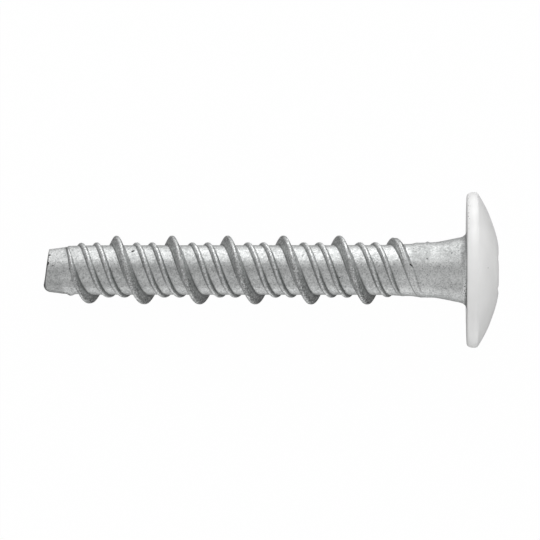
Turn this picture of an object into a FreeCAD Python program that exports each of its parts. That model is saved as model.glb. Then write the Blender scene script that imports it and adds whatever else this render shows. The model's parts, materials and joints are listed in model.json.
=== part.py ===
import FreeCAD, Part
import os
from math import asin, atan2, copysign, cos, degrees, pi, radians, sin, tan

Vector = FreeCAD.Vector

# Driving sizes, in millimetres and degrees. The screw is drawn along X: the underside of
# the head lies at x = 0, the shank runs towards -X and the head towards +X. Angles round
# the axis start at +Y and turn towards +Z.
length_under_head = 49.93
core_radius = 2.94
neck_radius = 3.22
neck_start = 9.6
neck_full = 5.4

# Tapered tip with a small step up to the core, sheared off at a slant: the cut leans
# towards +Y and towards +Z
tip_radius = 2.43
tip_taper_length = 2.43
tip_taper_end_radius = 2.74
tip_step_length = 0.32
shear_lean_y = 7.4
shear_lean_z = 8.5

# Neck flare under the head: a cone that ends in a small fillet
flare_start = 3.72
flare_radius = 4.01
underhead_fillet = 0.60
fillet_steps = 2

# Domed pan head. The rim's section is part of an ellipse. Fillet and rim are rounded in
# short cones, which mesh lighter than arcs.
head_radius = 9.19
head_height = 3.76
rim_height = 1.12
rim_half_width = 0.70
rim_round = 0.50
rim_steps = 5
head_flat_radius = 2.75

# Six-lobed drive recess
recess_point_radius = 2.80
recess_valley_radius = 1.975
recess_lobe_round = 0.457
recess_depth = 2.8
recess_cone_radius = 1.6
recess_cone_depth = 0.4

# Thread: one high cutting ridge and two low ridges, all of one pitch. A ridge's crest is
# flat over twice its half width; its flanks lean by slope, in x for each step of height.
pitch = 6.62
thread_start = 48.12
high_ridge_height = 1.10
high_ridge_half_crest = 0.20
high_ridge_slope = 0.35
low_ridge_height = 0.34
low_ridge_slope = 0.85
low_ridge_offsets = (0.3625, 0.6417)
ridge_bury = 0.20
ridge_root_depth = 0.45
points_per_turn = 10

# Where each ridge rises and runs out, in turns of its own helix
high_rise = (-0.18, 0.62)
high_fall = (5.65, 6.80)
low_rises = ((-0.40, -0.05), (-0.70, -0.20))
low_falls = ((5.45, 6.35), (5.45, 6.20))

# Cold rolling leaves the high ridge's start a little off the helix, and broadens its end
# to both sides
start_drift = 0.50
start_drift_turns = 0.40
end_spread = 0.10
end_spread_turns = (5.60, 6.00)


def smooth(u):
    """0 below u = 0, 1 above u = 1, and a soft S between."""
    u = min(max(u, 0.0), 1.0)
    return u * u * (3 - 2 * u)


def between(low, high, value):
    """How far value has come from low to high, from 0 to 1."""
    return min(max((value - low) / (high - low), 0.0), 1.0)


def shank_outline():
    """Corners (x, radius) of the plain shank, from beyond the tip to the neck's flare."""
    overrun = 1.0
    taper_end = -length_under_head + tip_taper_length
    taper = (tip_taper_end_radius - tip_radius) / tip_taper_length
    return [
        (-length_under_head - overrun, tip_radius - taper * overrun),
        (taper_end, tip_taper_end_radius),
        (taper_end + tip_step_length, core_radius),
        (-neck_start, core_radius),
        (-neck_full, neck_radius),
        (-flare_start, neck_radius),
    ]


def body_radius(x):
    """Radius of the plain shank that the ridges stand on."""
    outline = shank_outline()
    radius = outline[0][1]
    for (start, low), (end, high) in zip(outline, outline[1:]):
        radius += (high - low) * between(start, end, x)
    return radius


def rim_outline():
    """Corners of the head's rim, from its underside round to the crease below the dome."""
    sweep = radians(90) + asin((rim_height - rim_half_width) / rim_half_width)
    corners = []
    for n in range(rim_steps + 1):
        angle = sweep * n / rim_steps
        x = rim_half_width * (1 - cos(angle))
        corners.append(Vector(x, head_radius - rim_round * (1 - sin(angle)), 0))
    return corners


def body_blank():
    """Tip, core, neck and head turned from one outline."""
    shank = [Vector(x, radius, 0) for x, radius in shank_outline()]
    tip = Vector(shank[0].x, 0, 0)

    flare_angle = atan2(flare_radius - neck_radius, flare_start)
    fillet_rise = 1 / cos(flare_angle) - tan(flare_angle)
    fillet_radius = flare_radius + underhead_fillet * fillet_rise
    fillet_middle = Vector(-underhead_fillet, fillet_radius, 0)
    fillet = []
    for n in range(fillet_steps + 1):
        angle = flare_angle + (radians(90) - flare_angle) * n / fillet_steps
        fillet.append(fillet_middle + Vector(sin(angle), -cos(angle), 0) * underhead_fillet)

    rim = rim_outline()
    crease = rim[-1]
    flat = Vector(head_height, head_flat_radius, 0)
    dome_middle_x = (flat.x**2 + flat.y**2 - crease.x**2 - crease.y**2) / (2 * (flat.x - crease.x))
    dome_middle = Vector(dome_middle_x, 0, 0)
    halfway = ((crease + flat) / 2 - dome_middle).normalize()
    dome_halfway = dome_middle + halfway * (crease - dome_middle).Length

    top = Vector(head_height, 0, 0)
    up_to_dome = [tip] + shank + fillet + rim
    edges = [Part.makeLine(a, b) for a, b in zip(up_to_dome, up_to_dome[1:])]
    edges.append(Part.Arc(crease, dome_halfway, flat).toShape())
    edges += [Part.makeLine(flat, top), Part.makeLine(top, tip)]
    face = Part.Face(Part.Wire(edges))
    return face.revolve(Vector(0, 0, 0), Vector(1, 0, 0), 360)


def helix_curve(height, shift, ridge_form):
    """One long edge of a ridge: a helix whose radius sinks into the shank at both ends."""
    rise, fall = ridge_form["rise"], ridge_form["fall"]
    count = round((fall[1] - rise[0]) * points_per_turn)
    turns = [rise[0] + (fall[1] - rise[0]) * n / count for n in range(count + 1)]
    points = []
    for turn in turns:
        centre = -thread_start + pitch * (turn + ridge_form["offset"])
        centre += ridge_form["drift"] * (1 - smooth(turn / start_drift_turns))
        up = smooth(between(rise[0], rise[1], turn))
        down = smooth(between(fall[0], fall[1], turn))
        radius = body_radius(centre) + height - ridge_form["sink"] * (1 - up + down)
        spread = ridge_form["spread"] * smooth(between(*end_spread_turns, turn))
        x = centre + shift + copysign(spread, shift)
        angle = 2 * pi * turn
        points.append(Vector(x, radius * cos(angle), radius * sin(angle)))
    curve = Part.BSplineCurve()
    curve.interpolate(Points=points, Parameters=turns)
    return curve


def ruled_patch(near, far, begin, end):
    """The ruled face between two helix edges, from one turn count to another."""
    sides = [near.copy(), far.copy()]
    for side in sides:
        side.segment(begin, end)
    patch = Part.BSplineSurface()
    patch.buildFromPolesMultsKnots(
        [side.getPoles() for side in sides],
        [2, 2],
        sides[0].getMultiplicities(),
        [0, 1],
        sides[0].getKnots(),
        False,
        False,
        1,
        sides[0].Degree,
    )
    return patch.toShape()


def ridge(section, ridge_form):
    """A solid ridge: its section's corners drawn out along the helix, the ends capped."""
    curves = [helix_curve(height, shift, ridge_form) for height, shift in section]
    first, last = ridge_form["rise"][0], ridge_form["fall"][1]
    patches = round(last - first)
    cuts = [first + (last - first) * n / patches for n in range(patches + 1)]
    faces = []
    for near, far in zip(curves, curves[1:] + curves[:1]):
        for begin, end in zip(cuts, cuts[1:]):
            faces.append(ruled_patch(near, far, begin, end))
    for end in (0, -1):
        corners = [curve.getPoles()[end] for curve in curves]
        faces.append(Part.Face(Part.makePolygon(corners + corners[:1])))
    shell = Part.makeShell(faces)
    shell.sewShape()
    solid = Part.makeSolid(shell)
    if solid.Volume < 0:
        solid.reverse()
    return solid


def ridge_section(height, half_crest, slope):
    """(height over the shank, distance along X) of each corner, from the tip side round."""
    foot = half_crest + (height + ridge_root_depth) * slope
    if half_crest:
        crest = [(height, -half_crest), (height, half_crest)]
    else:
        crest = [(height, 0.0)]
    return [(-ridge_root_depth, -foot)] + crest + [(-ridge_root_depth, foot)]


def thread_ridges():
    """The high ridge and the two low ones."""
    high_form = {"offset": 0.0, "rise": high_rise, "fall": high_fall}
    high_form.update(drift=start_drift, spread=end_spread, sink=high_ridge_height + ridge_bury)
    high_section = ridge_section(high_ridge_height, high_ridge_half_crest, high_ridge_slope)
    ridges = [ridge(high_section, high_form)]
    low_section = ridge_section(low_ridge_height, 0.0, low_ridge_slope)
    for offset, rise, fall in zip(low_ridge_offsets, low_rises, low_falls):
        low_form = {"offset": offset, "rise": rise, "fall": fall}
        low_form.update(drift=0.0, spread=0.0, sink=low_ridge_height + ridge_bury)
        ridges.append(ridge(low_section, low_form))
    return ridges


def drive_recess():
    """Six outer lobes joined by tangent arcs, sunk into the head with a shallow cone below."""
    lobe_centre = recess_point_radius - recess_lobe_round
    valley = recess_valley_radius
    reach = lobe_centre * cos(radians(30))
    valley_round = (lobe_centre**2 + valley**2 - 2 * reach * valley - recess_lobe_round**2) / (
        2 * (recess_lobe_round + reach - valley)
    )
    valley_centre = valley + valley_round

    def at(radius, angle):
        return Vector(0, radius * cos(radians(angle)), radius * sin(radians(angle)))

    edges = []
    for n in range(6):
        lobe = at(lobe_centre, 60 * n)
        behind = at(valley_centre, 60 * n - 30)
        ahead = at(valley_centre, 60 * n + 30)
        next_lobe = at(lobe_centre, 60 * n + 60)
        start = lobe + (behind - lobe).normalize() * recess_lobe_round
        middle = lobe + (ahead - lobe).normalize() * recess_lobe_round
        end = ahead + (next_lobe - ahead).normalize() * valley_round
        edges.append(Part.Arc(start, at(recess_point_radius, 60 * n), middle).toShape())
        edges.append(Part.Arc(middle, at(valley, 60 * n + 30), end).toShape())
    section = Part.Face(Part.Wire(edges))
    floor = head_height - recess_depth
    section.translate(Vector(floor, 0, 0))
    walls = section.extrude(Vector(recess_depth + 1.0, 0, 0))
    apex = Vector(floor - recess_cone_depth, 0, 0)
    cone = Part.makeCone(0, recess_cone_radius, recess_cone_depth, apex, Vector(1, 0, 0))
    return walls.fuse(cone)


def shear_cut():
    """What the shear takes off beyond the slanted end face."""
    size = 8 * core_radius
    block = Part.makeBox(size, size, size, Vector(-size, -size / 2, -size / 2))
    outward = Vector(1, -tan(radians(shear_lean_y)), -tan(radians(shear_lean_z)))
    middle = Vector(-length_under_head, 0, 0)
    block.Placement = FreeCAD.Placement(middle, FreeCAD.Rotation(Vector(1, 0, 0), outward))
    return block


def laid_down(solid):
    """The screw at rest on its side: on the head's rim and the thread's first full crest."""
    first_full_turn = 0.75
    crest_radius = core_radius + high_ridge_height
    crest_x = -thread_start + pitch * first_full_turn
    tilt = max(atan2(p.y - crest_radius, p.x - crest_x) for p in rim_outline())
    solid.rotate(Vector(0, 0, 0), Vector(0, 1, 0), -degrees(tilt))
    box = solid.optimalBoundingBox(False)
    solid.translate(Vector(-box.Center.x, -box.Center.y, -box.ZMin))
    return solid


def build():
    screw = body_blank().fuse(thread_ridges())
    screw = screw.cut(drive_recess())
    screw = screw.cut(shear_cut())
    return laid_down(screw.Solids[0])


os.makedirs("parts", exist_ok=True)
shape = build()
shape.exportStep("parts/concrete_screw.step")
print("solids", len(shape.Solids), "valid", shape.isValid(), "volume", round(shape.Volume, 2))
print("box", shape.optimalBoundingBox(False))
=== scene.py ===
import json
import math

import bpy
import numpy as np
from mathutils import Matrix, Vector


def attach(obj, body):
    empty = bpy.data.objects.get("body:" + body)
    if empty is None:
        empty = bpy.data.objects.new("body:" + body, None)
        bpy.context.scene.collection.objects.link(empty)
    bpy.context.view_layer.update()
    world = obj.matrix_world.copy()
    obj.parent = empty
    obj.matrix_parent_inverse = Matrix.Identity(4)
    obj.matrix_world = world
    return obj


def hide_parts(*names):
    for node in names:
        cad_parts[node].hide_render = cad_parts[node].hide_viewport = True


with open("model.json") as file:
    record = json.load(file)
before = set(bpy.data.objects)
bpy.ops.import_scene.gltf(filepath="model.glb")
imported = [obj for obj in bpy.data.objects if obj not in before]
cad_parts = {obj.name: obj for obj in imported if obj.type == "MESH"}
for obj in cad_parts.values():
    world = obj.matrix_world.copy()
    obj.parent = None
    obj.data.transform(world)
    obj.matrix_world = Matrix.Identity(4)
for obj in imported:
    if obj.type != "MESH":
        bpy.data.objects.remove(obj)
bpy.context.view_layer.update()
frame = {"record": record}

MM = 0.001

# The screw's own sizes, in millimetres, as in the part's source. The underside of the head
# is x = 0, the shank runs towards -x. Angles round the axis start at +Y and turn towards
# the side that lies uppermost.
CORE_RADIUS = 2.94
CORE_THINNING, THINNING_RUN = 0.07, 3.7
NECK_RADIUS = 3.22
NECK_START, NECK_HALFWAY, NECK_STEP = -9.6, -7.4, -6.22
NECK_RISE = 0.14
TIP_X, TIP_RADIUS, TIP_SAG = -49.93, 2.43, 0.14
TAPER_END_X, TAPER_END_RADIUS, TAPER_STEP = -47.50, 2.74, 0.32
SHEAR_SLOPE_Y, SHEAR_SLOPE_Z = math.tan(math.radians(7.4)), math.tan(math.radians(8.5))
FLARE_START, FLARE_RADIUS = -3.72, 4.01
FILLET_RUN, FILLET_RISE = 0.75, 0.60
HEAD_RADIUS, HEAD_HEIGHT, DOME_TOP = 9.19, 3.76, 3.79
RIM_HEIGHT, RIM_HALF_WIDTH, RIM_ROUND, HEAD_FLAT_RADIUS = 1.12, 0.70, 0.50, 2.75
RECESS_POINT, RECESS_VALLEY, RECESS_LOBE = 2.80, 1.975, 0.457
RECESS_DEPTH, RECESS_CONE_RADIUS, RECESS_CONE_DEPTH = 2.8, 1.6, 0.4

# How softly the shank's straight runs pass into each other, and how far round from the
# thread's start, in degrees, the taper ends in a step
TAPER_ROUND, EVEN_ROUND, NECK_ROUND, FLARE_ROUND = 0.12, 0.05, 0.8, 0.7
NECK_STEP_LEAD, NECK_STEP_TRAIL = 0.6, 1.0
STEP_SPAN = 34.377

# Thread. The high ridge starts narrow and a little towards the head. Its last turn spreads,
# leans, shows a lap and melts into the neck by a flatter slope; each window is the turns
# where that begins, is full, is full no more and has ended
PITCH = 6.62
THREAD_START = -48.12
THREAD_TURNS = range(-1, 8)
START_DRIFT_TURNS = 0.40
START_WIDTH, START_WIDTH_TURNS = 0.4, 0.6
SPREAD_TURNS, LATE_SPREAD_TURNS = (5.60, 6.00), (6.1, 6.3)
LAP_TURNS, LAP_HALF_WIDTH = (5.75, 5.90, 6.45, 6.60), 0.14
LEAN_TURNS, END_LEAN, LATE_LEAN = (6.03, 6.15, 6.20, 6.26), 0.25, 0.35
MELT_TURNS, MELT_SLOPE = (5.75, 5.97, 6.17, 6.29), 0.5
HIGH_RIDGE = {
    "is_high": 1, "height": 1.14, "half_crest": 0.28, "slopes": (0.37, 0.32),
    "offset": -0.005, "drift": 0.50, "spread": (0.10, 0.34), "lap": 0.08,
    "rise": (-0.18, 0.62), "fall": (5.65, 6.80),
}
LOW_RIDGE = {
    "is_high": 0, "height": 0.34, "half_crest": 0.22, "slopes": (0.54, 0.38),
    "drift": 0.0, "spread": (0.0, 0.0), "lap": 0.0,
}
LOW_RIDGES = [
    dict(LOW_RIDGE, offset=0.3600, rise=(-0.40, -0.05), fall=(5.20, 6.30)),
    dict(LOW_RIDGE, offset=0.6390, rise=(-0.70, -0.20), fall=(5.05, 5.85)),
]
# The crest's roundness, how deep a ridge's ends sink into the shank, how softly its sides
# meet it, and a level that lies under every ridge
CREST_POWER, RIDGE_BURY, ROOT_ROUND, FAR_BELOW = 3.5, 0.20, 0.05, -9.0

# The painted shade in a ridge's root, a dark line: its width, what it loses on the head
# side towards the screw's upper side, on the tip side towards the lower one and near the
# high ridge's end, and the ridge's height from which it is full
ROOT_SHADE_WIDTH, HEAD_SIDE_LOSS, TIP_SIDE_LOSS, END_LOSS = 0.05, 0.55, 0.2, 0.9
ROOT_SHADE_FULL_LEVEL = 0.15
# Painted shade on the high ridge's head-side flank near its end: its strength, where it starts and
# is full across the ridge, and the height from which it is full
END_SHADE_STRENGTH, END_SHADE_SIDE, END_SHADE_FULL_LEVEL = 0.35, (0.1, 0.3), 0.3

# Where round the axis a mask begins and is full, as the cosine of the angle: 1 is the
# screw's +Y side, which is the upper one in the photo, and -1 the lower. The neck's
# painted highlight has a window's four values; the tip's painted highlight lies on its
# upper side and its painted shade on the lower
UPPER_SIDE, LOWER_SIDE, WIDE_LOWER_SIDE = (0.0, 0.5), (5 / 12, -5 / 12), (0.3, -0.7)
HIGHLIGHT_TIP_SIDE, SHADED_TIP_SIDE = (-1 / 3, 1 / 3), (-0.55, -0.80)
HIGHLIGHT_NECK_SIDE = (-2.9 / 3, -1.9 / 3, 0.2, 0.6)

# The rest of the shank's masks: strengths from 0 to 1, places and widths in millimetres
TIP_ZONE, NECK_ZONE = (TAPER_END_X, TAPER_END_X - 0.3), (-8.5, -7.0)
# Painted highlights on the tip and the neck, and painted shade on the tip's lower side
TIP_HIGHLIGHT, NECK_HIGHLIGHT, TIP_SHADE = 0.32, 0.32, 0.42
# The crests' wear, and painted shade on the ridges' flanks, fuller on the lower side
CREST_LEVEL, FLANK_LEVEL, UPPER_FLANK = (0.0, 0.25), (0.3, 0.6), 0.55
# Painted shade in the corner between neck and head: where it starts, how much further out it
# starts on the lower side, its run, and its strength, more on the lower side
CORNER_START, CORNER_LOW_START, CORNER_RUN = -0.07, 0.12, 0.06
CORNER_SHADE, CORNER_LOW_SHADE = 0.3, 0.45
SHEARED_RUN = 0.14
# Patches of painted shade on the neck, which dim its highlight: x, degrees, half length,
# half width in degrees, strength, and 4 for a flat one or 2 for a peaked one
NECK_SHADE_PATCHES = [
    (-5.90, 52, 0.8, 22, 0.45, 2),
    (-4.97, 50, 0.9, 20, 0.60, 4),
    (-3.10, 57, 1.2, 9, 0.26, 2),
]
# Painted lines round the neck: shade under the die line, a highlight over it and a highlight in
# the corner at the head; each has x, half width, strength, and the side where they show
DIE_SHADE = (-4.62, 0.06, 0.4, (-0.15, 0.305))
DIE_GLEAM = (-4.76, 0.07, 0.5, (0.45, -0.05))
CORNER_GLEAM = (-0.37, 0.07, 0.9, (0.3, -0.325))

# Rows of the shank's skin: across the end face as shares of its radius, from the face's
# edge towards the thread, and the cap inside the head as x and radius
SHANK_COLUMNS = 108
FACE_ROWS = np.array([0.12, 0.28, 0.44, 0.58, 0.7, 0.8, 0.88, 0.94, 0.98])
EDGE_ROWS = np.array([0, 0.012, 0.03, 0.055, 0.085, 0.12, 0.16, 0.21, 0.27, 0.34, 0.42, 0.51])
EDGE_ZONE = 1.2
FILLET_BEND = np.radians(np.arange(0, 91, 10))
CAP_ROWS = np.array([(0.12, 4.30), (0.2, 3.0), (0.2, 1.0)])

# The sheared tip: how far along the slant fades, the edge's radius, what it gains where
# the shear pressed in, how much of that arc is cut, the place in degrees where it
# pressed, where the sag of the lower side ends, and the hollow of the end face
SLANT_RUN, EDGE_ROUND, PRESSED_ROUND, EDGE_SHARE = 3.0, 0.10, 0.62, 0.98
PRESSED_AT, PRESSED_SPAN = 180, 55
SAG_RUN = (TAPER_END_X + 0.8, TAPER_END_X - 0.6)
FACE_DISH, FACE_POLE_DEPTH = 0.05, 0.05
# Burrs: x, degrees, half length, half width and height
BURRS = [(-47.0, 182, 0.38, 1.0, 0.26), (-5.95, 3, 0.28, 1.1, 0.06)]
# The line where the dies ended: x, half width and height, and its burr
DIE_LINE_X, DIE_LINE_WIDTH, DIE_LINE_HEIGHT = -4.60, 0.09, 0.018
DIE_BURR_AT, DIE_BURR_SPAN, DIE_BURR_WIDTH, DIE_BURR_HEIGHT = 4, 9, 0.08, 0.13

# Lumps: height, size and seed of each layer; where the neck's own are full, and where all
# end at the head
ZINC_LUMPS = [(0.004, 0.9, 5), (0.0035, 0.34, 6)]
NECK_LUMPS, LUMPY_NECK = [(0.004, 0.7, 7), (0.003, 0.3, 8)], (-10.0, -7.0)
FACE_LUMPS = [(0.02, 0.5, 9)]
PAINT_LUMPS = [(0.006, 1.1, 11), (0.003, 0.45, 12)]
LUMPS_END = (-0.05, -0.35)
LATTICE = 64

# Head: rows of each stretch, and where its hidden underside starts and its paint begins
HEAD_COLUMNS = 216
UNDERSIDE_ROWS, RIM_ROWS, DOME_ROWS, WALL_ROWS = 16, 22, 40, 12
UNDERSIDE_START, PAINT_START, PAINT_RUN = 3.2, 4.4, 0.35
# How much fuller the edge between rim and dome is, and from which radius and to which
# height that grows
RIM_SWELL, SWELL_START, SWELL_RUN, SWELL_RISE = 0.15, 5.6, 3.4, 0.9
# Wear round the recess, from its outer radius in and above a height, with dents by place
# across, half width and depth
WORN_DEPTH, WORN_FROM, WORN_TO, WORN_ABOVE = 0.03, 4.0, 3.0, 3.2
EDGE_DENTS = [(1.35, 0.5, 0.06), (-2.2, 0.28, 0.10)]
# The paint's lumps: heights where they stop on the rim's side and are full on top, and
# how far outside the recess they are full
PEEL_SIDE_HEIGHT, PEEL_TOP_HEIGHT, PEEL_RUN = 1.6, 1.2, 0.5
# The rounded edge from the dome's circle to the recess: share of the recess's outline,
# radius outside it, and height over the dome's last row
DOME_GAP = 0.16
RECESS_EDGE = [
    (0.12, 0.13, 0.004),
    (0.30, 0.11, 0.007),
    (0.60, 0.085, 0.008),
    (0.85, 0.06, 0.005),
    (1.0, 0.035, -0.004),
    (1.0, 0.012, -0.025),
    (1.0, 0.0, -0.07),
]
# Inside the recess: the wall's draft, how the paint thins out, and rows as shares
WALL_DRAFT, WALL_PAINT_LOSS, FLOOR_PAINT, CONE_PAINT = 0.03, 0.6, 0.4, 0.3
FLOOR_ROWS, CONE_ROWS = (0.3, 0.6, 1.0), (0.33, 0.66, 0.95)

# Black specks and nicks on the side that shows: x, angle and size
SPECKS = [
    (-39.32, 39.6, 0.16),
    (-39.41, 41.8, 0.17),
    (-6.58, 79.0, 0.17),
    (-6.46, 81.5, 0.14),
    (-6.34, 84.5, 0.10),
    (-4.66, 66.0, 0.08),
    (-1.75, 57.0, 0.09),
    (-0.25, 118.0, 0.09),
    (-0.12, 122.0, 0.10),
    (-0.30, 127.0, 0.08),
    (-0.14, 130.0, 0.10),
    (-0.35, 133.0, 0.07),
    (-0.08, 135.0, 0.09),
    (-0.20, 112.0, 0.07),
    (-14.9, 107.7, 0.08),
    (-49.28, 46.0, 0.15),
    (-49.36, 71.0, 0.13),
    (-49.42, 75.5, 0.11),
    (-48.86, 79.0, 0.07),
    (-48.74, 78.0, 0.06),
    (-46.45, 103.0, 0.13),
    (-46.80, 87.0, 0.08),
    (-47.70, 158.0, 0.09),
    (-47.40, 163.0, 0.12),
    (-47.15, 166.0, 0.12),
]
# The same on the painted head
HEAD_SPECKS = [
    (0.72, 59.5, 0.10),
    (0.63, 118.9, 0.09),
    (2.38, 88.0, 0.09),
    (0.15, 22.0, 0.07),
    (0.22, 29.0, 0.06),
    (0.12, 33.0, 0.08),
    (0.32, 35.0, 0.05),
    (0.26, 39.0, 0.06),
    (0.13, 42.5, 0.08),
    (0.10, 46.0, 0.09),
    (0.20, 49.0, 0.06),
    (0.16, 53.0, 0.06),
    (0.14, 58.0, 0.05),
]

# Where the screw lies: the record's mount on the head's flat gives its axis
drive = next(m for m in frame["record"]["mounts"] if m["name"] == "drive_recess")
AXIS = Vector(drive["axis"]).normalized()
UNDERSIDE = Vector(drive["pos_m"]) - AXIS * HEAD_HEIGHT * MM
ACROSS = Vector((0, 1, 0))
UPPERMOST = AXIS.cross(ACROSS)


def smooth(u):
    """0 below u = 0, 1 above u = 1, and 3u^2 - 2u^3 between."""
    u = np.clip(u, 0.0, 1.0)
    return u * u * (3 - 2 * u)


def ramp(u, start, full):
    """Smooth climb from 0 at the start to 1 where it is full, which may lie on either side."""
    return smooth((u - start) / (full - start))


def window(u, start, full, full_no_more, end):
    """A smooth climb from 0 to 1, a stretch of 1 and a smooth fall back to 0."""
    return ramp(u, start, full) * ramp(u, end, full_no_more)


def bell(distance, width, power=2):
    """exp(-|d/w|^p): 1 at distance 0 and next to nothing past two widths."""
    return np.exp(-np.abs(distance / width) ** power)


def soft_step(distance, width):
    """Half of (d + sqrt(d^2 + w^2)): 0 far below, d far above, rounded over the width."""
    return 0.5 * (distance + np.sqrt(distance**2 + width**2))


def degrees_from(angle, at_degrees):
    """How far round the axis an angle in radians lies from a place, -180 to 180 degrees."""
    turn = angle - math.radians(at_degrees)
    return np.degrees(np.arctan2(np.sin(turn), np.cos(turn)))


def arc_from(radius, angle, at_degrees):
    """The same as a length along the skin: radius times angle."""
    return radius * np.radians(degrees_from(angle, at_degrees))


def lumps(points, size, seed):
    """Value noise from -1 to 1: random numbers on a cubic lattice of the given size, blended
    between its eight corners by the smooth step."""
    table = np.random.default_rng(seed).uniform(-1, 1, (LATTICE, LATTICE, LATTICE))
    cell = np.floor(points / size).astype(int)
    part = smooth(points / size - cell)
    total = np.zeros(points.shape[:-1])
    for corner in np.ndindex(2, 2, 2):
        weight = np.ones(points.shape[:-1])
        index = []
        for k in range(3):
            weight = weight * (part[..., k] if corner[k] else 1 - part[..., k])
            index.append((cell[..., k] + corner[k]) % LATTICE)
        total += weight * table[tuple(index)]
    return total


def layered_lumps(points, layers):
    """The sum of several layers of lumps, each times its height."""
    return sum(height * lumps(points, size, seed) for height, size, seed in layers)


def on_screw(x, radius, angle):
    """Points in the screw's own axes: (x, r cos, r sin)."""
    return np.stack([x, radius * np.cos(angle), radius * np.sin(angle)], -1)


def in_row_frame(x, radius, angle):
    """Screw coordinates to the frame, in metres: underside + x axis + r (cos, sin) across."""
    axes = np.array([AXIS, ACROSS, UPPERMOST])
    return np.array(UNDERSIDE) + MM * (on_screw(x, radius, angle) @ axes)


def turned_mesh(name, x, radius, angle, start_x, end_x, masks):
    """A closed skin round the axis from rows of points (x, radius) at every angle, with a
    pole at each end. Quads are cut along the diagonal that climbs with the thread."""
    rows, columns = x.shape
    ring = in_row_frame(x, radius, angle).reshape(-1, 3)
    poles = in_row_frame(np.array([start_x, end_x]), np.zeros(2), np.zeros(2))
    points = np.vstack([ring, poles])
    i, j = np.meshgrid(np.arange(rows - 1), np.arange(columns), indexing="ij")
    here, beside = i * columns + j, i * columns + (j + 1) % columns
    first, after = np.arange(columns), (np.arange(columns) + 1) % columns
    last = (rows - 1) * columns
    start_pole, end_pole = np.full(columns, rows * columns), np.full(columns, rows * columns + 1)
    faces = np.vstack([
        np.stack([here, beside + columns, here + columns], -1).reshape(-1, 3),
        np.stack([here, beside, beside + columns], -1).reshape(-1, 3),
        np.stack([after, first, start_pole], -1),
        np.stack([last + first, last + after, end_pole], -1),
    ])
    mesh = bpy.data.meshes.new(name)
    mesh.vertices.add(len(points))
    mesh.vertices.foreach_set("co", points.ravel())
    mesh.loops.add(faces.size)
    mesh.loops.foreach_set("vertex_index", faces.ravel())
    mesh.polygons.add(len(faces))
    mesh.polygons.foreach_set("loop_start", np.arange(0, faces.size, 3))
    mesh.polygons.foreach_set("use_smooth", np.ones(len(faces), dtype=bool))
    mesh.update(calc_edges=True)
    for mask, values in masks.items():
        filled = np.concatenate([values.ravel(), values[0, :1], values[-1, :1]])
        mesh.attributes.new(mask, "FLOAT", "POINT").data.foreach_set("value", filled)
    piece = bpy.data.objects.new(name, mesh)
    bpy.context.scene.collection.objects.link(piece)
    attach(piece, "root")
    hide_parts("concrete_screw")
    return piece


def plain_radius(x, angle):
    """Radius of the shank without its thread: straight runs joined by rounded steps. The
    tip's taper ends in a step where the thread starts and runs out evenly elsewhere."""
    taper = (TAPER_END_RADIUS - TIP_RADIUS) / (TAPER_END_X - TIP_X)
    core = CORE_RADIUS - CORE_THINNING * ramp(x, TAPER_END_X + THINNING_RUN, TAPER_END_X)
    neck = NECK_RISE / (NECK_HALFWAY - NECK_START)
    last_rise = NECK_RADIUS - CORE_RADIUS - NECK_RISE
    flare = (FLARE_RADIUS - NECK_RADIUS) / -FLARE_START
    stepped = (
        TAPER_END_RADIUS
        - taper * soft_step(TAPER_END_X - x, TAPER_ROUND)
        + (core - TAPER_END_RADIUS) * ramp(x, TAPER_END_X, TAPER_END_X + TAPER_STEP)
    )
    even = core - soft_step(core - TAPER_END_RADIUS - taper * (x - TAPER_END_X), EVEN_ROUND)
    near_start = bell(degrees_from(angle, 0), STEP_SPAN)
    return (
        near_start * stepped
        + (1 - near_start) * even
        + neck * (soft_step(x - NECK_START, NECK_ROUND) - soft_step(x - NECK_HALFWAY, NECK_ROUND))
        + last_rise * ramp(x, NECK_STEP - NECK_STEP_LEAD, NECK_STEP + NECK_STEP_TRAIL)
        + flare * soft_step(x - FLARE_START, FLARE_ROUND)
    )


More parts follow.
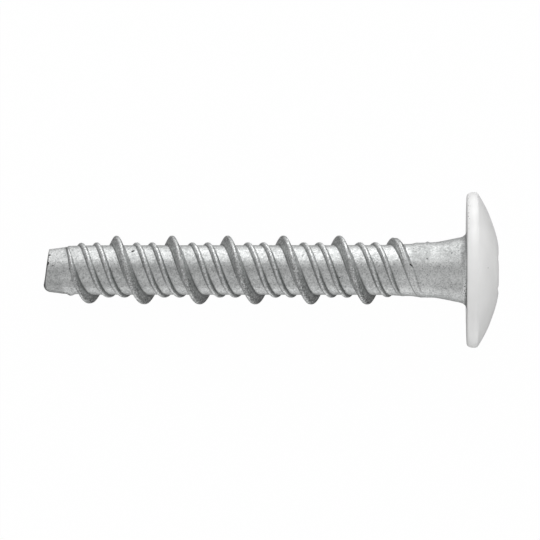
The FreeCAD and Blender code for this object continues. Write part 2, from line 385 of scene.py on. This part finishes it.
def ridge_level(x, angle, ridge):
    """Height of one ridge over the shank, negative off it, and the painted shade in its roots
    and on the high ridge's flank near its end. For each turn the crest follows
    x = start + pitch (turns + offset); from it the height falls by
    ((|d|^3.5 + c^3.5)^(1/3.5) - c) / slope. Near the high ridge's end the crest spreads
    and leans, and a shallow lap, exp(-d^2), runs along its middle."""
    best, root_shade = np.full(x.shape, FAR_BELOW), np.zeros(x.shape)
    lower, upper = ramp(np.cos(angle), *LOWER_SIDE), ramp(np.cos(angle), *UPPER_SIDE)
    is_high = ridge["is_high"]
    for whole in THREAD_TURNS:
        turn = angle / (2 * np.pi) + whole
        crest = THREAD_START + PITCH * (turn + ridge["offset"])
        crest = crest + ridge["drift"] * ramp(turn, START_DRIFT_TURNS, 0)
        distance = x - crest
        head_side = distance > 0
        ending = ramp(turn, *SPREAD_TURNS)

        # The section: how far its crest spreads, how its sides slope, how wide it is
        tip_spread, head_spread = ridge["spread"]
        spread = np.where(
            head_side, head_spread * ramp(turn, *LATE_SPREAD_TURNS), tip_spread * ending
        )
        tip_slope, head_slope = ridge["slopes"]
        slope = np.where(
            head_side, head_slope + MELT_SLOPE * is_high * window(turn, *MELT_TURNS), tip_slope
        )
        off_crest = np.maximum(np.abs(distance) - spread, 0)
        narrow = START_WIDTH + (1 - START_WIDTH) * ramp(turn, 0, START_WIDTH_TURNS)
        half = ridge["half_crest"] * np.where(is_high, narrow, 1.0)
        rounded = (off_crest**CREST_POWER + half**CREST_POWER) ** (1 / CREST_POWER)

        # Its height: it climbs out of the shank and sinks back into it
        sunk = 1 - ramp(turn, *ridge["rise"]) + ramp(turn, *ridge["fall"])
        top = ridge["height"] - (ridge["height"] + RIDGE_BURY) * sunk
        lap = ridge["lap"] * window(turn, *LAP_TURNS) * bell(distance, LAP_HALF_WIDTH)
        lean = (END_LEAN + LATE_LEAN * window(turn, *LEAN_TURNS)) * is_high * ending
        level = top - (rounded - half) / slope - lap - lean * np.maximum(distance, 0)

        # The painted shade in its roots, and painted shade on the high ridge's flank near its end
        shade = np.where(head_side, 1 - HEAD_SIDE_LOSS * (1 - lower), 1 - TIP_SIDE_LOSS * lower)
        shade = shade * (1 - END_LOSS * ending * is_high * head_side)
        shade = shade * ramp(top, 0, ROOT_SHADE_FULL_LEVEL)
        line = ROOT_SHADE_WIDTH * (1 + lower * head_side * (1 - ending))
        root_shade = np.where(level > best, shade * bell(level * slope, line), root_shade)
        end_shade = END_SHADE_STRENGTH * ending * is_high * ramp(distance, *END_SHADE_SIDE)
        root_shade = np.maximum(root_shade, end_shade * upper * ramp(level, 0, END_SHADE_FULL_LEVEL))
        best = np.maximum(best, level)
    return best, root_shade


def on_skin(x, radius, angle, at_x, at_degrees, size):
    """Frame position and size, in metres, of a speck on the nearest point of a skin."""
    nearest = np.argmin((x - at_x) ** 2 + arc_from(radius, angle, at_degrees) ** 2)
    place = (np.array(v) for v in (at_x, radius.flat[nearest], math.radians(at_degrees)))
    return Vector(in_row_frame(*place)), size * MM


def shank_rows():
    """Places of the rows along the axis: ever further apart from the tip's edge, then one
    column's climb of the helix apart, then even in angle round the fillet."""
    climb = PITCH / SHANK_COLUMNS
    to_thread = np.arange(EDGE_ROWS[-1] + climb, EDGE_ZONE, climb)
    straight = np.arange(TIP_X + EDGE_ZONE, -FILLET_RUN - climb / 2, climb)
    fillet = FILLET_RUN * (np.sin(FILLET_BEND) - 1)
    return np.concatenate([TIP_X + EDGE_ROWS, TIP_X + to_thread, straight, fillet])


def slant(angle):
    """Slope of the sheared end along a radius: its lean across plus its lean upwards."""
    return SHEAR_SLOPE_Y * np.cos(angle) + SHEAR_SLOPE_Z * np.sin(angle)


def round_the_neck(x, height, at_x, half_width, strength, side):
    """A thin line round the shank: exp(-d^2) along x, fading in over the side."""
    return strength * bell(x - at_x, half_width) * ramp(height, *side)


def shank_masks(x, angle, level, root, from_edge):
    """Where the zinc gets painted shade (root), wear (crest), painted highlights (light),
    painted shade on the ridges (flank) or is cut through (sheared). Each is the largest of
    its parts, and each part a product of smooth steps along x, round the axis or up the ridge."""
    height = np.cos(angle)
    low = ramp(height, *WIDE_LOWER_SIDE)
    tip, neck = ramp(x, *TIP_ZONE), ramp(x, *NECK_ZONE)

    corner_start = CORNER_START - CORNER_LOW_START * low
    corner = smooth((x - corner_start) / CORNER_RUN) * (CORNER_SHADE + CORNER_LOW_SHADE * low)
    # Painted shade: the thread's roots, the corner at the head, the tip's lower side, under the
    # die line and patches on the neck
    dark = [
        root,
        corner,
        # painted shade on the tip's lower side
        TIP_SHADE * tip * ramp(height, *SHADED_TIP_SIDE),
        round_the_neck(x, height, *DIE_SHADE),
    ]
    for at_x, at_degrees, length, width, strength, power in NECK_SHADE_PATCHES:
        along = bell(x - at_x, length, power)
        dark.append(strength * along * bell(degrees_from(angle, at_degrees), width, power))
    # Painted highlights: the tip's and the neck's lit sides, over the die line and in the corner
    # at the head
    light = [
        TIP_HIGHLIGHT * tip * ramp(height, *HIGHLIGHT_TIP_SIDE),
        NECK_HIGHLIGHT * neck * window(height, *HIGHLIGHT_NECK_SIDE),
        round_the_neck(x, height, *DIE_GLEAM),
        round_the_neck(x, height, *CORNER_GLEAM),
    ]
    return {
        "root": np.maximum.reduce(dark),
        "crest": ramp(level, *CREST_LEVEL),
        "flank": ramp(level, *FLANK_LEVEL) * (UPPER_FLANK + (1 - UPPER_FLANK) * low),
        "light": np.maximum.reduce(light),
        "sheared": ramp(from_edge, SHEARED_RUN, 0),
    }


def worked_radius(x, angle, radius, from_edge):
    """The shank's radius after forging and shearing: the fillet's quarter ellipse, the sag
    and the rounded edge of the tip, burrs, and the line where the dies ended."""
    fillet = np.zeros(len(radius))
    fillet[-len(FILLET_BEND):] = FILLET_RISE * (1 - np.cos(FILLET_BEND))
    radius = radius + fillet[:, None]
    radius = radius + TIP_SAG * (1 - np.cos(angle)) / 2 * ramp(x, *SAG_RUN)
    edge = EDGE_ROUND + PRESSED_ROUND * bell(degrees_from(angle, PRESSED_AT), PRESSED_SPAN)
    inside = np.clip(1 - from_edge / edge, 0, 1)
    radius = radius - edge * (1 - np.sqrt(1 - inside**2)) * EDGE_SHARE
    for at_x, at_degrees, length, width, height in BURRS:
        across = bell(arc_from(CORE_RADIUS, angle, at_degrees), width)
        radius = radius + height * bell(x - at_x, length) * across
    burr = bell(degrees_from(angle, DIE_BURR_AT), DIE_BURR_SPAN)
    line = bell(x - DIE_LINE_X, DIE_LINE_WIDTH + DIE_BURR_WIDTH * burr)
    return radius + line * (DIE_LINE_HEIGHT + DIE_BURR_HEIGHT * burr)


def end_face(angle, rim_x, rim_radius):
    """The sheared face inside its rounded edge: a slanted disc, dished by 1 - share^2 of
    its radius. By share^4 its outer rows pass into the edge's first row, and by
    1 - share^6 its lumps fade out there."""
    share = FACE_ROWS[:, None]
    radius = share * rim_radius
    x = TIP_X + radius * slant(angle) - FACE_DISH * (1 - share**2)
    x = x + share**4 * (rim_x - TIP_X - rim_radius * slant(angle))
    points = on_screw(x, radius, angle + 0 * x)
    return x + layered_lumps(points, FACE_LUMPS) * (1 - share**6), radius


def shank():
    """Tip, thread and neck in one skin. Rows lie one column's climb of the helix apart, so
    the thread runs along the grid's diagonals. Returns the piece and its specks."""
    columns = np.arange(SHANK_COLUMNS) * 2 * np.pi / SHANK_COLUMNS
    along = shank_rows()
    angle = np.broadcast_to(columns, (len(along), SHANK_COLUMNS))
    from_edge = along[:, None] - TIP_X + 0 * angle
    x = along[:, None] + 0 * angle
    x = x + ramp(x, TIP_X + SLANT_RUN, TIP_X) * TIP_RADIUS * slant(angle)

    ridges = [ridge_level(x, angle, ridge) for ridge in [HIGH_RIDGE] + LOW_RIDGES]
    level = np.maximum.reduce([ridge[0] for ridge in ridges])
    root = np.maximum.reduce([ridge[1] for ridge in ridges])
    radius = plain_radius(x, angle) + soft_step(level, ROOT_ROUND)
    radius = worked_radius(x, angle, radius, from_edge)
    points = on_screw(x, radius, angle)
    rough = layered_lumps(points, ZINC_LUMPS)
    rough = rough + ramp(x, *LUMPY_NECK) * layered_lumps(points, NECK_LUMPS)
    radius = radius + rough * ramp(x, *LUMPS_END)
    specks = [on_skin(x, radius, angle, *dot) for dot in SPECKS]

    face_x, face_radius = end_face(columns, x[0], radius[0])
    cap = np.repeat(CAP_ROWS[:, :, None], SHANK_COLUMNS, axis=2)
    masks = shank_masks(x, angle, level, root, from_edge)
    for name, values in masks.items():
        on_face = np.full(face_x.shape, float(name == "sheared"))
        masks[name] = np.vstack([on_face, values, np.zeros(cap[:, 0].shape)])
    x = np.vstack([face_x, x, cap[:, 0]])
    radius = np.vstack([face_radius, radius, cap[:, 1]])
    angle = np.broadcast_to(columns, x.shape)
    start_x, end_x = TIP_X - FACE_POLE_DEPTH, CAP_ROWS[-1, 0]
    return turned_mesh("threaded_shank", x, radius, angle, start_x, end_x, masks), specks


def recess_outline(angle):
    """Radius of the six-lobed outline: where a ray meets the lobe's circle, or, past the
    point where the two touch, the valley's circle."""
    sixth = math.radians(30)
    turn = np.abs((np.degrees(angle) + 30) % 60 - 30)
    lobe = RECESS_POINT - RECESS_LOBE
    reach = lobe * math.cos(sixth)
    valley_round = (
        lobe**2 + RECESS_VALLEY**2 - 2 * reach * RECESS_VALLEY - RECESS_LOBE**2
    ) / (2 * (RECESS_LOBE + reach - RECESS_VALLEY))
    valley = RECESS_VALLEY + valley_round
    along = Vector((valley * math.cos(sixth) - lobe, valley * math.sin(sixth))).normalized()
    touch = Vector((lobe, 0)) + along * RECESS_LOBE
    switch = math.degrees(math.atan2(touch.y, touch.x))
    a, b = np.radians(turn), np.radians(30 - turn)
    lobe_half = np.sqrt(np.maximum(RECESS_LOBE**2 - (lobe * np.sin(a)) ** 2, 0))
    valley_half = np.sqrt(np.maximum(valley_round**2 - (valley * np.sin(b)) ** 2, 0))
    return np.where(turn <= switch, lobe * np.cos(a) + lobe_half, valley * np.cos(b) - valley_half)


def head_outline():
    """The head's rows as x, radius, paint and share of the recess's outline: the flat
    underside, the rim's quarter ellipse, the dome's arc, the recess's edge, wall, floor
    and cone."""
    rows = []
    middle = HEAD_RADIUS - RIM_ROUND
    for share in np.linspace(0, 1, UNDERSIDE_ROWS):
        across = UNDERSIDE_START + (middle - UNDERSIDE_START) * share
        rows.append((0.0, across, float(smooth((across - PAINT_START) / PAINT_RUN)), 0.0))

    sweep = math.pi / 2 + math.asin((RIM_HEIGHT - RIM_HALF_WIDTH) / RIM_HALF_WIDTH)
    for share in np.linspace(0, 1, RIM_ROWS)[1:]:
        x = RIM_HALF_WIDTH * (1 - math.cos(sweep * share))
        rows.append((x, middle + RIM_ROUND * math.sin(sweep * share), 1.0, 0.0))

    # The dome's arc passes through the crease over the rim and the edge of the flat
    crease_x, crease_radius = RIM_HEIGHT, middle + RIM_ROUND * math.sin(sweep)
    centre = (DOME_TOP**2 + HEAD_FLAT_RADIUS**2 - crease_x**2 - crease_radius**2) / (
        2 * (DOME_TOP - crease_x)
    )
    dome = math.hypot(crease_x - centre, crease_radius)
    low, high = math.asin(crease_radius / dome), math.asin((RECESS_POINT + DOME_GAP) / dome)
    for share in np.linspace(0, 1, DOME_ROWS)[1:]:
        turn = low + (high - low) * share
        rows.append((centre + dome * math.cos(turn), dome * math.sin(turn), 1.0, 0.0))

    top = rows[-1][0]
    for outline, outside, rise in RECESS_EDGE:
        rows.append((top + rise, RECESS_POINT + outside, 1.0, outline))
    wall_top, floor = rows[-1][0], HEAD_HEIGHT - RECESS_DEPTH
    for share in np.linspace(0, 1, WALL_ROWS)[1:]:
        x = wall_top + (floor - wall_top) * share
        paint = 1 - WALL_PAINT_LOSS * share
        rows.append((x, RECESS_POINT - WALL_DRAFT * share, paint, 1.0))
    for share in FLOOR_ROWS:
        radius = (RECESS_POINT - WALL_DRAFT) * (1 - share) + RECESS_CONE_RADIUS * share
        rows.append((floor, radius, FLOOR_PAINT, 1 - share))
    for share in CONE_ROWS:
        x = floor - RECESS_CONE_DEPTH * share
        rows.append((x, RECESS_CONE_RADIUS * (1 - share), CONE_PAINT, 0.0))
    return np.array(rows).T[:, :, None]


def head():
    """The domed head as one skin: each row is a blend of a circle and the recess's
    outline. The dome's edge swells, the recess's edge is worn and dented, and the paint's
    lumps fade out towards the underside and the recess. Returns the piece and its specks."""
    columns = np.arange(HEAD_COLUMNS) * 2 * np.pi / HEAD_COLUMNS
    x, radius, paint, outline = head_outline()
    recess = recess_outline(columns) / RECESS_POINT * radius
    radius = (1 - outline) * radius + outline * recess
    angle = np.broadcast_to(columns, radius.shape)
    x, paint = x + 0 * angle, paint + 0 * angle
    points = on_screw(x, radius, angle)

    swell = RIM_SWELL * np.clip((radius - SWELL_START) / SWELL_RUN, 0, 1)
    x = x + swell * ramp(x, 0, SWELL_RISE)
    worn = ramp(radius, WORN_FROM, WORN_TO) * (x > WORN_ABOVE)
    x = x - WORN_DEPTH * worn
    for across, half_width, depth in EDGE_DENTS:
        x = x - depth * bell(radius * np.cos(angle) - across, half_width) * worn
    peel = layered_lumps(points, PAINT_LUMPS)
    peel = peel * ramp(radius, RECESS_POINT, RECESS_POINT + PEEL_RUN) * (x > 0.0)
    x = x + peel * ramp(x, 0, PEEL_TOP_HEIGHT)
    radius = radius + peel * ramp(x, PEEL_SIDE_HEIGHT, 0)
    specks = [on_skin(x, radius, angle, *dot) for dot in HEAD_SPECKS]
    bottom = HEAD_HEIGHT - RECESS_DEPTH - RECESS_CONE_DEPTH
    return turned_mesh("painted_head", x, radius, angle, 0.0, bottom, {"paint": paint}), specks


# Colours of the finishes

ZINC_LIGHT, ZINC_DARK = (0.765, 0.775, 0.771, 1), (0.415, 0.427, 0.425, 1)
# A bright zinc for the crests' wear and for painted highlights, and a grey for painted shade on
# the ridges
WORN_AND_HIGHLIGHT_BRIGHT, FLANK_SHADE_GREY = (0.86, 0.868, 0.865, 1), (0.16, 0.167, 0.166, 1)
# Pits are the zinc's own; the black beside them is painted shade for the roots and corners
PIT_GREY, ROOT_SHADE_BLACK = (0.10, 0.105, 0.105, 1), (0.06, 0.066, 0.065, 1)
SHEARED_STEEL, SPECK_BLACK = (0.13, 0.125, 0.13, 1), (0.02, 0.02, 0.02, 1)
PAINT_SHADE, PAINT_WHITE = (0.76, 0.76, 0.755, 1), (0.82, 0.82, 0.815, 1)
PAINT_SPECK = (0.3, 0.3, 0.3, 1)

# Noises of the finishes: waves a metre, detail and roughness
MOTTLE, GRAIN, CLOUD = (1500, 3.0, 0.6), (5600, 2.0, 0.6), (260, 2.0, 0.5)
PITS, BRIGHT_GRAINS = (3800, 2.0, 0.6), (4600, 1.0, 0.5)
GLINTS, FLANK_SHADE_GRAINS = (6400, 2.0, 0.6), (5200, 2.0, 0.6)
PAINT_EDGE, SPECK_EDGE = (1800, 3.0, 0.7), (9000, 2.0, 0.6)
FLAKES_PER_METRE = 3300.0

# What part of a noise's range is stretched to which strengths: low, high, to low, to high
MOTTLE_SPREAD, GRAIN_SPREAD = (0.3, 0.7, 0.0, 0.3), (0.3, 0.7, 0.0, 2.2)
CLOUD_SPREAD, FLAKE_SPREAD = (0.35, 0.65, 0.0, 0.6), (0.0, 1.0, 0.0, 0.9)
SHADE_SPREAD, ROUGHNESS_SPREAD = (0.7, 3.3), (0.0, 1.0, 0.56, 0.44)
PIT_SPREAD, BRIGHT_SPREAD = (0.60, 0.70, 0.0, 0.5), (0.50, 0.60, 0.0, 0.85)
GLINT_SPREAD, FLANK_SHADE_SPREAD = (0.40, 0.60, 0.0, 2.0), (0.42, 0.58, 0.0, 0.75)
SPECK_RAGGED, SPECK_OUTER, SPECK_INNER = (0.3, 0.7, -0.03 * MM, 0.03 * MM), 1.15, 0.6
PAINT_CLOUD_SPREAD, PAINT_EDGE_SPREAD = (0.3, 0.7), (0.98, 1.08)
ROOT_STRENGTH, SHEARED_STRENGTH = 0.65, 0.7
PAINT_ROUGHNESS = 0.34
ZINC_BUMP = {"Strength": 0.20, "Distance": 0.06 * MM}
PAINT_BUMP = {"Strength": 0.12, "Distance": 0.05 * MM}


def new_group(name, inputs, outputs):
    """A shader node group with named inputs (with defaults) and named outputs."""
    group = bpy.data.node_groups.new(name, "ShaderNodeTree")
    for label, default in inputs.items():
        kind = "NodeSocketColor" if isinstance(default, tuple) else "NodeSocketFloat"
        socket = group.interface.new_socket(label, in_out="INPUT", socket_type=kind)
        socket.default_value = default
    for label, kind in outputs.items():
        group.interface.new_socket(label, in_out="OUTPUT", socket_type=kind)
    return group, group.nodes.new("NodeGroupInput"), group.nodes.new("NodeGroupOutput")


def add(tree, kind, inputs=None, **settings):
    """A node with its settings; each input is a value or another node's output socket."""
    node = tree.nodes.new(kind)
    for key, value in settings.items():
        setattr(node, key, value)
    for key, value in (inputs or {}).items():
        if isinstance(value, bpy.types.NodeSocket):
            tree.links.new(value, node.inputs[key])
        else:
            node.inputs[key].default_value = value
    return node


def own_place(tree):
    """The surface's place in the frame, which the pieces' Object coordinates give."""
    return add(tree, "ShaderNodeTexCoord").outputs["Object"]


def noise(tree, where, scale, detail, rough):
    """Noise of so many waves a metre, 0 to 1."""
    inputs = {"Vector": where, "Scale": scale, "Detail": detail, "Roughness": rough}
    return add(tree, "ShaderNodeTexNoise", inputs).outputs["Fac"]


def spread(tree, value, low, high, to_low=0.0, to_high=1.0):
    """value from low..high stretched to to_low..to_high and clamped."""
    inputs = {0: value, 1: low, 2: high, 3: to_low, 4: to_high}
    return add(tree, "ShaderNodeMapRange", inputs).outputs[0]


def math_of(tree, kind, a, b):
    """One sum, product or other operation on two values."""
    return add(tree, "ShaderNodeMath", {0: a, 1: b}, operation=kind).outputs[0]


def blend(tree, share, a, b):
    """Colour a with a share of colour b over it."""
    return add(tree, "ShaderNodeMix", {0: share, 6: a, 7: b}, data_type="RGBA").outputs[2]


def attribute(tree, name):
    """One of the piece's own masks."""
    return add(tree, "ShaderNodeAttribute", attribute_name=name).outputs["Fac"]


def masked(tree, mask, strength):
    """A piece's mask times a strength, which is a value or a pattern."""
    return math_of(tree, "MULTIPLY", attribute(tree, mask), strength)


def zinc_group():
    """Hot-dip zinc: its mottled colour, roughness and grain height, by Object coordinates.
    Its shade is the sum of mottle, grain, cloud and crystal flakes."""
    group, given, out = new_group(
        "zinc skin",
        {"Light": ZINC_LIGHT, "Dark": ZINC_DARK, "Grain": 1.0},
        {"Color": "NodeSocketColor", "Roughness": "NodeSocketFloat", "Height": "NodeSocketFloat"},
    )
    where = own_place(group)
    mottle, grain = noise(group, where, *MOTTLE), noise(group, where, *GRAIN)
    cloud = noise(group, where, *CLOUD)
    cells = add(group, "ShaderNodeTexVoronoi", {"Vector": where, "Scale": FLAKES_PER_METRE})
    flake = add(group, "ShaderNodeSeparateColor", {0: cells.outputs["Color"]}).outputs[0]
    shade = spread(group, mottle, *MOTTLE_SPREAD)
    for pattern, reach in ((grain, GRAIN_SPREAD), (cloud, CLOUD_SPREAD), (flake, FLAKE_SPREAD)):
        shade = math_of(group, "ADD", shade, spread(group, pattern, *reach))
    shade = spread(group, shade, *SHADE_SPREAD)
    height = math_of(group, "MULTIPLY", grain, given.outputs["Grain"])
    height = math_of(group, "ADD", height, mottle)
    color = blend(group, shade, given.outputs["Dark"], given.outputs["Light"])
    results = (color, spread(group, shade, *ROUGHNESS_SPREAD), height)
    for result, socket in zip(results, out.inputs):
        group.links.new(result, socket)
    return group


def specked(tree, color, dots, dark):
    """The colour with ragged dark specks: small balls round points of the skin."""
    where = own_place(tree)
    ragged = spread(tree, noise(tree, where, *SPECK_EDGE), *SPECK_RAGGED)
    for place, size in dots:
        inputs = {0: where, 1: place}
        away = add(tree, "ShaderNodeVectorMath", inputs, operation="DISTANCE").outputs["Value"]
        away = math_of(tree, "ADD", away, ragged)
        mask = spread(tree, away, SPECK_OUTER * size, SPECK_INNER * size)
        color = blend(tree, mask, color, dark)
    return color


def material(name):
    """A new material, its node tree and its Principled shader."""
    made = bpy.data.materials.new(name)
    made.use_nodes = True
    tree = made.node_tree
    return made, tree, tree.nodes["Principled BSDF"]


def shank_material(zinc, specks):
    """Zinc with painted shade in the thread's roots and on the ridges, black specks, wear brighter
    on the crests, and painted highlights.
    """
    made, tree, shader = material("galvanised zinc")
    skin = add(tree, "ShaderNodeGroup", node_tree=zinc)
    where = own_place(tree)
    pits = spread(tree, noise(tree, where, *PITS), *PIT_SPREAD)
    bright = spread(tree, noise(tree, where, *BRIGHT_GRAINS), *BRIGHT_SPREAD)
    glints = spread(tree, noise(tree, where, *GLINTS), *GLINT_SPREAD)
    flank_shade = spread(tree, noise(tree, where, *FLANK_SHADE_GRAINS), *FLANK_SHADE_SPREAD)
    color = blend(tree, pits, skin.outputs["Color"], PIT_GREY)
    color = blend(tree, masked(tree, "crest", bright), color, WORN_AND_HIGHLIGHT_BRIGHT)
    # Painted highlights on the tip, the neck, over the die line and in the corner at the head,
    # broken into glints
    color = blend(tree, masked(tree, "light", glints), color, WORN_AND_HIGHLIGHT_BRIGHT)
    # Painted shade on the ridges, fuller on the lower side and broken up by grains
    color = blend(tree, masked(tree, "flank", flank_shade), color, FLANK_SHADE_GREY)
    # Painted shade from the root mask: the thread's roots, the corner at the head, the tip's lower
    # side, under the die line and patches on the neck
    color = blend(tree, masked(tree, "root", ROOT_STRENGTH), color, ROOT_SHADE_BLACK)
    color = blend(tree, masked(tree, "sheared", SHEARED_STRENGTH), color, SHEARED_STEEL)
    color = specked(tree, color, specks, SPECK_BLACK)
    bump = add(tree, "ShaderNodeBump", {"Height": skin.outputs["Height"], **ZINC_BUMP})
    tree.links.new(color, shader.inputs["Base Color"])
    tree.links.new(skin.outputs["Roughness"], shader.inputs["Roughness"])
    tree.links.new(bump.outputs[0], shader.inputs["Normal"])
    shader.inputs["Metallic"].default_value = 1.0
    return made


def head_material(zinc, specks):
    """White paint over zinc; the paint thins out where the mask falls, under the head."""
    made, tree, shader = material("white paint on zinc")
    skin = add(tree, "ShaderNodeGroup", node_tree=zinc)
    where = own_place(tree)
    ragged = math_of(tree, "ADD", attribute(tree, "paint"), noise(tree, where, *PAINT_EDGE))
    paint = spread(tree, ragged, *PAINT_EDGE_SPREAD)
    cloud = spread(tree, noise(tree, where, *CLOUD), *PAINT_CLOUD_SPREAD)
    white = specked(tree, blend(tree, cloud, PAINT_SHADE, PAINT_WHITE), specks, PAINT_SPECK)
    color = blend(tree, paint, skin.outputs["Color"], white)
    rough = {0: paint, 2: skin.outputs["Roughness"], 3: PAINT_ROUGHNESS}
    bump = add(tree, "ShaderNodeBump", {"Height": skin.outputs["Height"], **PAINT_BUMP})
    tree.links.new(color, shader.inputs["Base Color"])
    tree.links.new(add(tree, "ShaderNodeMix", rough).outputs[0], shader.inputs["Roughness"])
    tree.links.new(math_of(tree, "SUBTRACT", 1.0, paint), shader.inputs["Metallic"])
    tree.links.new(bump.outputs[0], shader.inputs["Normal"])
    return made


zinc_skin = zinc_group()
screw_shank, shank_specks = shank()
screw_shank.data.materials.append(shank_material(zinc_skin, shank_specks))
screw_head, head_specks = head()
screw_head.data.materials.append(head_material(zinc_skin, head_specks))


# Stage: a pale floor, a white surround, three softboxes on one side and a weaker one
# opposite, and dim cards that the metal mirrors

FLOOR_SIZE, FLOOR_COLOUR, FLOOR_GLOW = 6.0, (0.9, 0.9, 0.9, 1), 0.98
SURROUND_LEVEL = 0.76
WHITE = (1, 1, 1, 1)
# Name, centre, width, height and strength, and the point that the card faces
CARDS = [
    ("overhead card", (0, 0.16, 0.5), 2.2, 0.66, 0.44, (0, 0.16, 0)),
    ("second overhead card", (0, -0.42, 0.5), 2.2, 0.5, 0.74, (0, -0.1, 0)),
    ("side card", (0, -0.66, 0.20), 2.4, 0.4, 0.2, (0, 0, 0)),
    ("low side card", (-0.12, -0.50, -0.30), 0.56, 0.6, 0.95, (0, 0, 0)),
    ("card behind the softbox", (0, 0.66, 0.25), 2.0, 0.6, 0.15, (0, 0, 0)),
    ("head end card", (0.9, -0.1, 0.25), 1.2, 0.5, 0.3, (0, 0, 0)),
    ("tip end card", (-0.9, -0.1, 0.25), 1.2, 0.5, 0.45, (0, 0, 0)),
    ("head corner card", (0.60, -0.46, 0.12), 0.6, 0.5, 0.03, (0, 0, 0)),
    ("tip corner card", (-0.72, 0.40, 0.12), 0.5, 0.5, 0.15, (0, 0, 0)),
    ("card below the tip end", (-0.38, 0, -0.3), 0.56, 0.6, 0.15, (-0.38, 0, 0)),
    ("card below the middle", (0, 0, -0.3), 0.2, 0.6, 0.22, (0, 0, 0)),
    ("card below the head end", (0.38, 0, -0.3), 0.56, 0.6, 0.02, (0.38, 0, 0)),
]
# Name, centre, width, height and power in watts; each looks at the frame's origin
SOFTBOXES = [
    ("softbox", (0.03, 0.50, 0.12), 0.6, 0.23, 1.12),
    ("upper softbox", (-0.20, 0.47, 0.32), 0.4, 0.2, 0.42),
    ("head end softbox", (0.50, 0.35, 0.15), 0.3, 0.2, 0.25),
    ("fill softbox", (0.08, -0.50, 0.06), 0.5, 0.12, 0.3),
]

scene = bpy.context.scene
scene.view_settings.view_transform = "Standard"


def seen_directly(tree):
    """1 for rays that show the background itself: from the camera, metal or glass."""
    path = add(tree, "ShaderNodeLightPath").outputs
    either = math_of(tree, "MAXIMUM", path["Is Camera Ray"], path["Is Glossy Ray"])
    return math_of(tree, "MAXIMUM", either, path["Is Transmission Ray"])


def floor_material():
    """White floor: mostly plain white to the eye, and matt where light and shadow fall."""
    made, tree, shader = material("pale floor")
    shader.inputs["Base Color"].default_value = FLOOR_COLOUR
    shader.inputs["Roughness"].default_value = 1.0
    shader.inputs["Specular IOR Level"].default_value = 0.0
    glow = add(tree, "ShaderNodeEmission", {"Color": WHITE, "Strength": 1.0})
    share = math_of(tree, "MULTIPLY", seen_directly(tree), FLOOR_GLOW)
    mixed = add(tree, "ShaderNodeMixShader", {0: share, 1: shader.outputs[0], 2: glow.outputs[0]})
    tree.links.new(mixed.outputs[0], tree.nodes["Material Output"].inputs["Surface"])
    return made


def flat_panel(name, centre, facing, width, height):
    """A rectangle centred on a point, its face turned to look at another point."""
    centre = Vector(centre)
    normal = (Vector(facing) - centre).normalized()
    side = Vector((1, 0, 0)) if abs(normal.x) < 0.9 else Vector((0, 1, 0))
    up = normal.cross(side).normalized()
    side = up.cross(normal)
    corners = [(-1, -1), (1, -1), (1, 1), (-1, 1)]
    points = [centre + side * a * width / 2 + up * b * height / 2 for a, b in corners]
    mesh = bpy.data.meshes.new(name)
    mesh.from_pydata([tuple(point) for point in points], [], [(0, 1, 2, 3)])
    panel = bpy.data.objects.new(name, mesh)
    scene.collection.objects.link(panel)
    return panel


def card(name, centre, width, height, strength, facing):
    """A dim card that shows only in the metal's reflections."""
    panel = flat_panel(name, centre, facing, width, height)
    made, tree, shader = material(name)
    tree.nodes.remove(shader)
    glow = add(tree, "ShaderNodeEmission", {"Color": WHITE, "Strength": strength})
    tree.links.new(glow.outputs[0], tree.nodes["Material Output"].inputs["Surface"])
    panel.data.materials.append(made)
    panel.visible_camera = False
    panel.visible_diffuse = False
    panel.visible_shadow = False


def softbox(name, centre, width, height, power):
    """A rectangular area lamp that looks at the frame's origin."""
    lamp = bpy.data.lights.new(name, "AREA")
    lamp.shape = "RECTANGLE"
    lamp.size, lamp.size_y = width, height
    lamp.energy = power
    box = bpy.data.objects.new(name, lamp)
    box.location = centre
    box.rotation_mode = "QUATERNION"
    box.rotation_quaternion = Vector(centre).to_track_quat("Z", "X")
    scene.collection.objects.link(box)


floor = flat_panel("floor", (0, 0, 0), (0, 0, 1), FLOOR_SIZE, FLOOR_SIZE)
floor.data.materials.append(floor_material())
floor.visible_glossy = False
for row in CARDS:
    card(*row)
for row in SOFTBOXES:
    softbox(*row)

world = bpy.data.worlds.new("surround")
scene.world = world
world.use_nodes = True
surround = world.node_tree.nodes["Background"]
level = spread(world.node_tree, seen_directly(world.node_tree), 0.0, 1.0, SURROUND_LEVEL, 1.0)
world.node_tree.links.new(level, surround.inputs["Strength"])
surround.inputs["Color"].default_value = WHITE


# Camera: over the middle of the shank, leaning so that the tip lies deeper than the head

PHOTO_WIDTH = 540
PIXELS_PER_MM = 8.434
DISTANCE_IN_PIXELS = 2724
TIP_DROP = math.radians(3.23)
AIM_X = -23.25
SENSOR_WIDTH = 36
NEAREST, FARTHEST = 0.01, 20

lean = TIP_DROP - math.asin(AXIS.z)
back = Vector((math.sin(lean), 0, math.cos(lean)))
right = ACROSS.cross(back)
pose = Matrix((right, ACROSS, back)).transposed().to_4x4()
pose.translation = UNDERSIDE + AXIS * AIM_X * MM + back * (DISTANCE_IN_PIXELS / PIXELS_PER_MM) * MM
eye = bpy.data.objects.new("camera", bpy.data.cameras.new("camera"))
scene.collection.objects.link(eye)
eye.data.sensor_width = SENSOR_WIDTH
eye.data.lens = SENSOR_WIDTH * DISTANCE_IN_PIXELS / PHOTO_WIDTH
eye.data.clip_start, eye.data.clip_end = NEAREST, FARTHEST
eye.matrix_world = pose
scene.camera = eye
